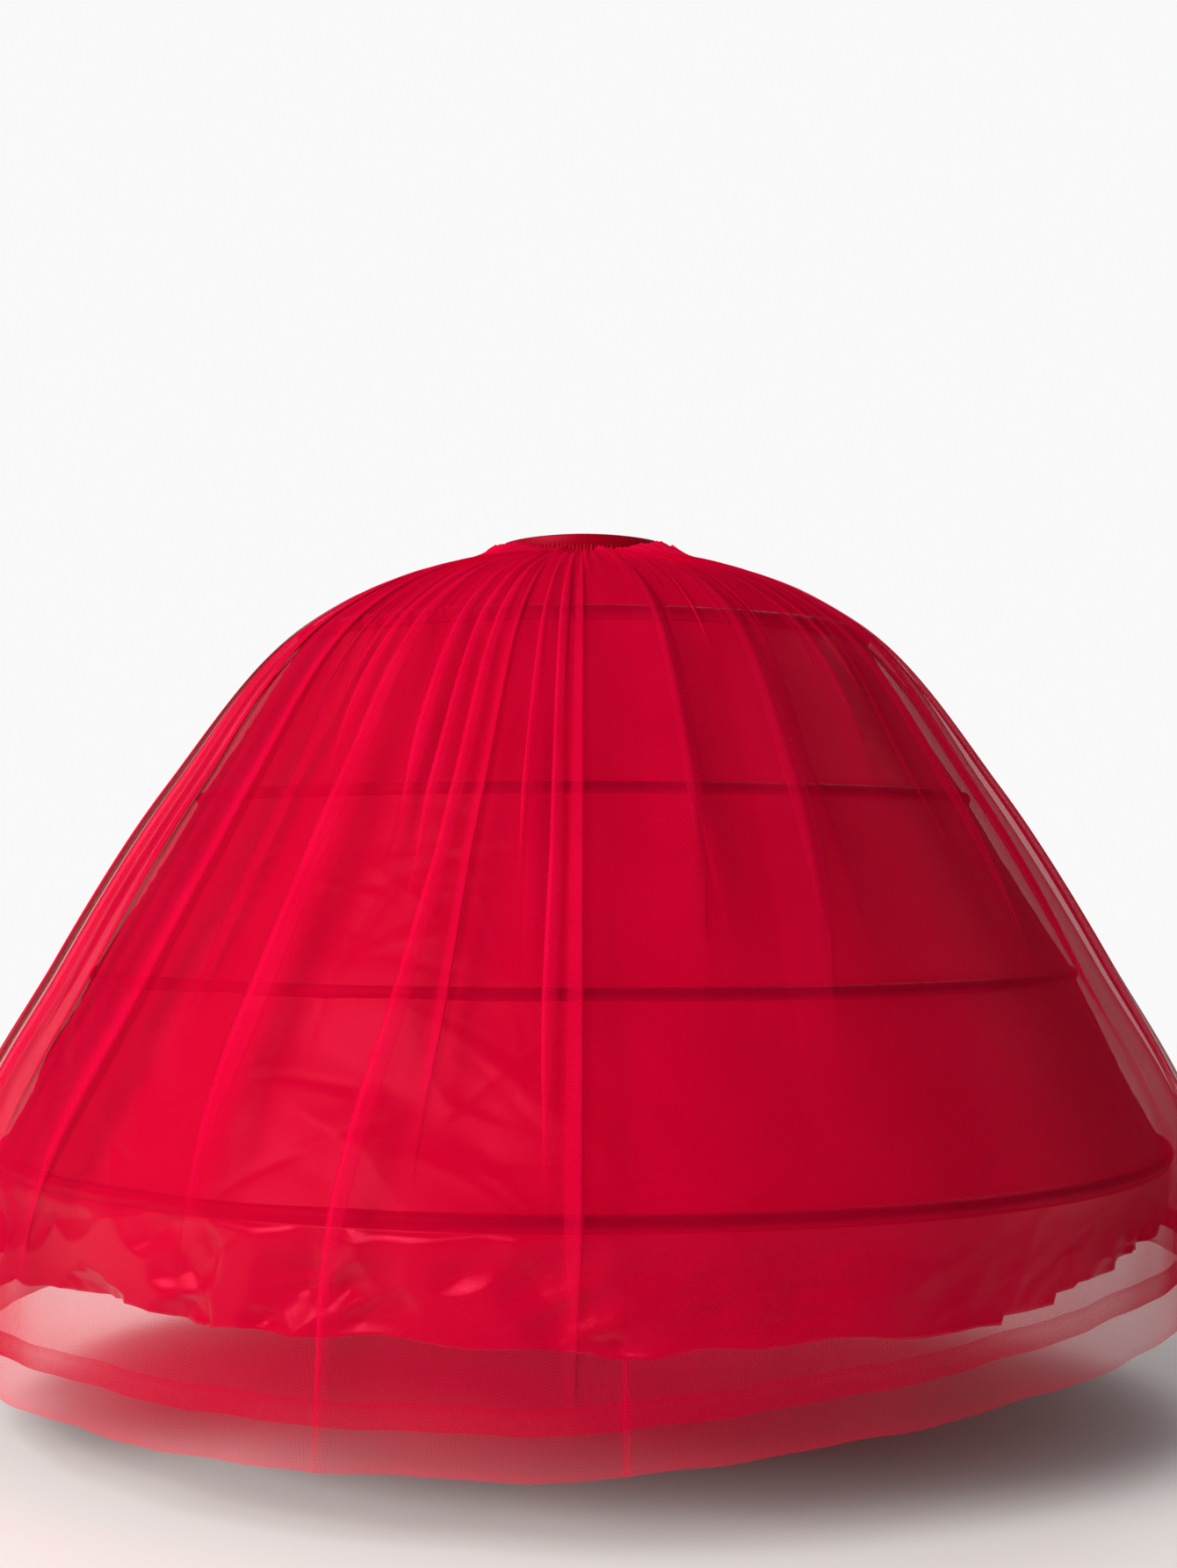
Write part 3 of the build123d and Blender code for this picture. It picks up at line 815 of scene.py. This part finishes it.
def netLine(layer, plan, bearing, places):
    top = bearing[0]
    angle = np.radians(bearing[-1])
    hoopEnds = [np.array([place[0] + stand, place[1]]) for place, stand in zip(hoopLine, plan["stands"])]
    stations = headingStations(plan, top)
    stations += domeStations(top, plan["topOut"], bandLow.z - heading["domeBelow"], hoopEnds[0])[1:]
    sideOut = plan["sideStand"] * ease(np.abs(np.sin(angle)), *netHang["sideStandFrom"])
    for place in hoopEnds[1:]:
        stations.append(np.stack([place[0] + sideOut, np.full_like(sideOut, place[1])], -1))
    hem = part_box(f"{layer}_net_panel_3")[0].z + netHang["hemRise"] * np.clip(np.sin(angle), 0, 1)
    hem = hem + netHang["hemUp"] + ripples(angle, *netHang["ragged"])
    stations.append(np.stack([hoopLine[3][0] + plan["hemStand"] + sideOut, hem], -1))
    return drawnLine(np.array(stations), places)


def turnedHem(plan, line):  # the rows of the hem that is turned up inside
    way = line[-1] - line[-2]
    way /= np.linalg.norm(way, axis=1, keepdims=True)
    inner = np.array([-netHang["turnIn"], 0])
    rows = [line[-1] + inner / 2 + way * netHang["turnDown"]]
    rows += [line[-1] - way * plan["hem"] * share + inner for share in netHang["turnShares"]]
    return np.array(rows)


def netCoverAndPaintedHighlight(plan, line, bearing, places, crest, veil):
    down = places[:, None]
    angle = np.radians(bearing)
    gathered = np.clip((hoopLine[3][0] + plan["stands"][3]) / line[..., 0], 1, netDense["mostGathered"])
    clear = 1 - netDense["cover"]
    thinned = 1 - sum(share * ease(down, start, end) for share, start, end in netDense["thins"])
    coverAndPaintedLight = clear * (1 - clear ** (gathered - 1)) * thinned
    # painted highlight: fold crests get more cover on the lit side towards -X, so their edges read as lit
    # lines
    lit = upFrom(netDense["litLeast"], ease(-np.sin(angle), *netDense["litFrom"]))
    coverAndPaintedLight = coverAndPaintedLight + netDense["crest"] * crest * lit * ease(down, *netDense["crestFrom"])
    coverAndPaintedLight = coverAndPaintedLight + netDense["veil"] * veil * ease(down, *netDense["veilFrom"])
    fromFront = awayFrom(bearing)
    full = ease(fromFront, *netDense["sideFrom"]) * (1 - ease(fromFront, *netDense["sideTo"]))
    hanging = netDense["hangLevel"] + netDense["hangSpread"] * ripples(angle, *plan["hanging"])
    coverAndPaintedLight = coverAndPaintedLight + plan["sideFullness"] * full * hanging
    coverAndPaintedLight = coverAndPaintedLight + netDense["hem"] * ease(down, *netDense["hemFrom"])
    coverAndPaintedLight[:, [0, -1]] += netDense["seam"] * ease(down, *netDense["seamFrom"])
    return coverAndPaintedLight


def netPanel(layer, number, plan, folds, material):
    places = np.linspace(0, 1, plan["rows"]) ** netHang["rowPower"]
    down = places[:, None]
    bearing, flatTurn, lift, crest, veil = netColumns(panelFrom(number), folds, plan, places)
    line = netLine(layer, plan, bearing, places)
    angle = np.radians(bearing)
    wave = plan["wave"] * ripples(angle, *netHang["waves"])
    ruffle = plan["ruffle"] * (netHang["ruffleOut"] + ripples(angle, *netHang["ruffles"]))
    lift = lift + wave * ease(down, *netHang["wavesFrom"])
    lift = lift + ruffle * (1 - ease(down, *netHang["rufflesTo"]))
    line = line + outward(line) * lift[..., None]
    coverAndPaintedLight = netCoverAndPaintedHighlight(plan, line, bearing, places, crest, veil)
    if plan["hem"]:
        hemRows = turnedHem(plan, line)
        line = np.concatenate([line, hemRows])
        bearing, flatTurn, coverAndPaintedLight = (np.concatenate([grid, np.repeat(grid[-1:], len(hemRows), 0)])
                                    for grid in (bearing, flatTurn, coverAndPaintedLight))
        coverAndPaintedLight[[len(places) - 1, -1]] += netDense["turnedEdge"]
    else:
        coverAndPaintedLight[-1] += netDense["cutEdge"]
    piece = makeSheet(f"{layer}Net_{number}", standUp(line, bearing), clothUv(line, flatTurn), coverAndPaintedLight)
    sewOn(piece, material, [f"{layer}_net_panel_{number}"])


def makeNets():
    rng = np.random.default_rng(netSeed)
    for number in panels:
        start = panelFrom(number)
        folds = addGathers(inventFolds(start, underNet, rng), start, rng)
        netPanel("under", number, underNet, folds, underNetCloth)
        folds = addGathers(frontFolds.get(number) or inventFolds(start, overNet, rng), start, rng)
        netPanel("over", number, overNet, folds, overNetCloth)


makeNets()
print("net layers made")


# Steel, sleeves and elastic keep their solids

brushed = {"streakScale": (20, 20, 4000), "streakDetail": 3.0, "dark": 0.8, "roughSpread": 0.2}
ribbed = {"roughness": 0.75, "ribs": 420.0, "dark": 0.7, "bump": 0.4, "bumpDeep": 0.4 * mm}


def brushedSteel(name, colour, roughness):
    material, tree, shader = newMaterial(name, Metallic=1.0)
    place = addNode(tree, "ShaderNodeTexCoord")
    along = stretched(tree, place.outputs["Object"], brushed["streakScale"])
    streaks = noise(tree, along, 1.0, brushed["streakDetail"])
    dark = tuple(brushed["dark"] * part for part in colour)
    tree.links.new(mixColours(tree, streaks, dark, colour), shader.inputs["Base Color"])
    rough = maths(tree, "MULTIPLY_ADD", streaks, brushed["roughSpread"], roughness)
    tree.links.new(rough, shader.inputs["Roughness"])
    return material


def ribbedElastic(name, colour):
    material, tree, shader = newMaterial(name, Roughness=ribbed["roughness"])
    place = addNode(tree, "ShaderNodeTexCoord")
    wave = addNode(tree, "ShaderNodeTexWave",
                   [("Vector", place.outputs["Object"]), ("Scale", ribbed["ribs"])], bands_direction="Z")
    ribs = wave.outputs["Fac"]
    dark = tuple(ribbed["dark"] * part for part in colour)
    tree.links.new(mixColours(tree, ribs, dark, colour), shader.inputs["Base Color"])
    bump = addNode(tree, "ShaderNodeBump",
                   [("Strength", ribbed["bump"]), ("Distance", ribbed["bumpDeep"]), ("Height", ribs)])
    tree.links.new(bump.outputs[0], shader.inputs["Normal"])
    return material


def finishSolid(node, finish):
    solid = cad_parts[node].data
    solid.materials.clear()
    solid.materials.append(finish)


steelFinish = brushedSteel("springSteel", (0.62, 0.63, 0.65), roughness=0.25)
for number in hoopNumbers:
    finishSolid(f"hoop_{number}", steelFinish)
finishSolid("hoop_sleeves", brushedSteel("sleeveSteel", (0.5, 0.5, 0.52), roughness=0.38))
finishSolid("waist_elastic", ribbedElastic("waistElastic", (0.8, 0.78, 0.76)))
print("steel and elastic finished")


# Floor, light and camera

stage = {"floorHeight": -1.10, "floorRadius": 7.0, "floorSides": 96, "floorColour": (0.9, 0.89, 0.88),
         "floorRoughness": 0.7, "fadeFrom": 1.7, "fadeTo": 4.5, "ambient": 0.23, "backdrop": 0.95}
lights = {
    "keyLight": {"place": (-3.0, -3.2, 1.7), "size": 2.6, "power": 290, "colour": (1, 0.97, 0.94)},
    "fillLight": {"place": (3.4, -3.0, 1.2), "size": 3.0, "power": 10, "colour": (1, 0.96, 0.96)},
    "backLight": {"place": (1.6, 3.0, 3.6), "size": 3.0, "power": 65, "colour": (1, 0.97, 0.95)},
}
lightAim = (0, 0, -0.5)
camera = {"distance": 2.98, "height": -0.426, "pitch": 2.27, "yaw": 0.12, "lens": 51.6, "sensor": 36,
          "clipEnd": 100}
bounces = {"max_bounces": 4, "diffuse_bounces": 2, "glossy_bounces": 2, "transparent_max_bounces": 28}


def makeFloor():
    bpy.ops.object.select_all(action="DESELECT")
    bpy.ops.mesh.primitive_circle_add(vertices=stage["floorSides"], radius=stage["floorRadius"],
                                      fill_type="NGON", location=(0, 0, stage["floorHeight"]))
    floor = bpy.context.object
    floor.name = "studioFloor"
    material, tree, shader = newMaterial("studioFloor", Roughness=stage["floorRoughness"])
    shader.inputs["Base Color"].default_value = (*stage["floorColour"], 1)
    place = addNode(tree, "ShaderNodeTexCoord")
    away = addNode(tree, "ShaderNodeVectorMath", [(0, place.outputs["Object"])], operation="LENGTH")
    fade = addNode(tree, "ShaderNodeMapRange",
                   [("Value", away.outputs["Value"]), ("From Min", stage["fadeFrom"]),
                    ("From Max", stage["fadeTo"]), ("To Min", 1.0), ("To Max", 0.0)],
                   interpolation_type="SMOOTHSTEP")
    tree.links.new(fade.outputs["Result"], shader.inputs["Alpha"])
    floor.data.materials.append(material)


def makeWorld():
    world = bpy.data.worlds.new("studioWorld")
    bpy.context.scene.world = world
    world.use_nodes = True
    tree = world.node_tree
    back = tree.nodes["Background"]
    back.inputs["Color"].default_value = (1, 1, 1, 1)
    path = addNode(tree, "ShaderNodeLightPath")
    level = maths(tree, "MULTIPLY_ADD", path.outputs["Is Camera Ray"], stage["backdrop"] - stage["ambient"],
                  stage["ambient"])
    tree.links.new(level, back.inputs["Strength"])


def makeLight(name, plan):
    lamp = bpy.data.lights.new(name, "AREA")
    lamp.energy = plan["power"]
    lamp.size = plan["size"]
    lamp.color = plan["colour"]
    light = bpy.data.objects.new(name, lamp)
    light.location = plan["place"]
    aim = Vector(lightAim) - Vector(plan["place"])
    light.rotation_euler = aim.to_track_quat("-Z", "Y").to_euler()
    bpy.context.scene.collection.objects.link(light)


def makeCamera():
    data = bpy.data.cameras.new("photoCamera")
    data.sensor_width = camera["sensor"]
    data.lens = camera["lens"]
    data.clip_end = camera["clipEnd"]
    seen = bpy.data.objects.new("photoCamera", data)
    seen.location = (0, -camera["distance"], camera["height"])
    seen.rotation_euler = (math.radians(90 + camera["pitch"]), 0, -math.radians(camera["yaw"]))
    bpy.context.scene.collection.objects.link(seen)
    bpy.context.scene.camera = seen


makeFloor()
makeWorld()
for name, plan in lights.items():
    makeLight(name, plan)
makeCamera()
bpy.context.scene.view_settings.view_transform = "Standard"
for setting, count in bounces.items():
    setattr(bpy.context.scene.cycles, setting, count)
print("stage, lights and camera set")
